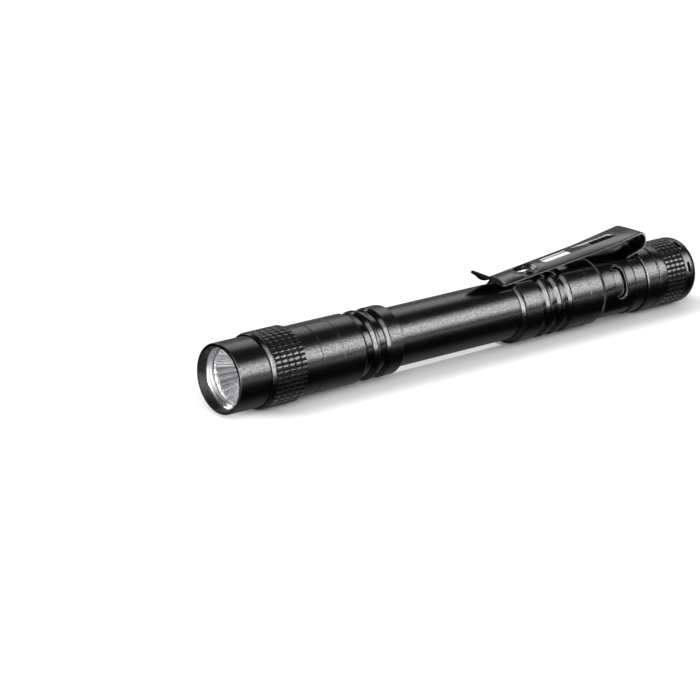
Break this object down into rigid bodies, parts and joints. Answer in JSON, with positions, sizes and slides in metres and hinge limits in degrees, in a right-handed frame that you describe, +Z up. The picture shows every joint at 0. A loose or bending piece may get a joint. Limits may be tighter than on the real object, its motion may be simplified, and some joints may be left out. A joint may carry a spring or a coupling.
{
  "type": "ultraviolet flashlight",
  "caption": "Slim black penlight with a knurled bezel, finned head, straight battery tube, turning pocket clip, unscrewing tail cap and tail button.",
  "frame": {"origin": "on the surface the light lies on, below the middle of its length", "axes": "+X from the lens to the tail button along the light's axis, +Z up towards the clip"},
  "size_m": [0.133, 0.0164, 0.0203],
  "materials": {
    "black_anodised": "satin black anodised, bright edges",
    "black_clip_steel": "satin blackened sprung steel",
    "polished_ring": "polished",
    "reflector_mirror": "vacuum metallised",
    "lens_glass": "clear",
    "spring_steel": "nickel plated",
    "brass": "machined",
    "emitter_ceramic": "ceramic base and silicone dome",
    "board_white": "white coated metal-core board",
    "board_green": "glass-fibre circuit board",
    "white_plastic": "moulded",
    "dark_plastic": "moulded",
    "black_rubber": "matt",
    "clear_rubber": "translucent silicone",
    "red_wire": "insulated wire",
    "black_wire": "insulated wire",
    "cell_wrap": "plain wrapped cell"
  },
  "bodies": {
    "light": {"bezel_ring": "black_anodised", "lens_ring": "polished_ring", "front_lens": "lens_glass", "lens_o_ring": "clear_rubber", "reflector": "reflector_mirror", "led_emitter": "emitter_ceramic", "led_gasket": "white_plastic", "led_board": "board_white", "led_pill": "brass", "lead_positive": "red_wire", "lead_negative": "black_wire", "driver_board": "board_green", "driver_contact": "brass", "head_shell": "black_anodised", "head_o_ring": "black_rubber", "battery_tube": "black_anodised", "front_cell": "cell_wrap", "rear_cell": "cell_wrap", "tail_o_ring": "black_rubber"},
    "tail_carriage": {"tail_spring": "spring_steel"},
    "tail_cap": {"tail_cap": "black_anodised", "switch_lock_ring": "brass", "switch_board": "board_green", "switch_body": "dark_plastic"},
    "button": {"tail_button": "black_rubber", "switch_plunger": "white_plastic"},
    "clip_band": {"clip_band": "black_clip_steel"},
    "clip_arm": {"clip_arm": "black_clip_steel"}
  },
  "joints": [
    {"name": "tail_cap_travel", "type": "slide", "parent": "light", "child": "tail_carriage", "axis": [1, 0, 0], "range_m": [0, 0.0064]},
    {"name": "tail_cap_turn", "type": "hinge", "parent": "tail_carriage", "child": "tail_cap", "pos_m": [0.058, 0, 0.00816], "axis": [1, 0, 0], "range_deg": [0, 2880]},
    {"name": "button_press", "type": "slide", "parent": "tail_cap", "child": "button", "axis": [-1, 0, 0], "range_m": [0, 0.001], "stiffness_N_per_m": 1500, "springref_m": -0.0003},
    {"name": "clip_turn", "type": "hinge", "parent": "light", "child": "clip_band", "pos_m": [0.0415, 0, 0.00816], "axis": [1, 0, 0], "continuous": true},
    {"name": "clip_flex", "type": "hinge", "parent": "clip_band", "child": "clip_arm", "pos_m": [0.05092, 0, 0.01824], "axis": [0, 1, 0], "range_deg": [0, 5], "stiffness_Nm_per_rad": 2, "springref_deg": -2.29}
  ],
  "couplings": [
    {"joint": "tail_cap_turn", "follows": "tail_cap_travel", "rad_per_m": 7853.9}
  ]
}
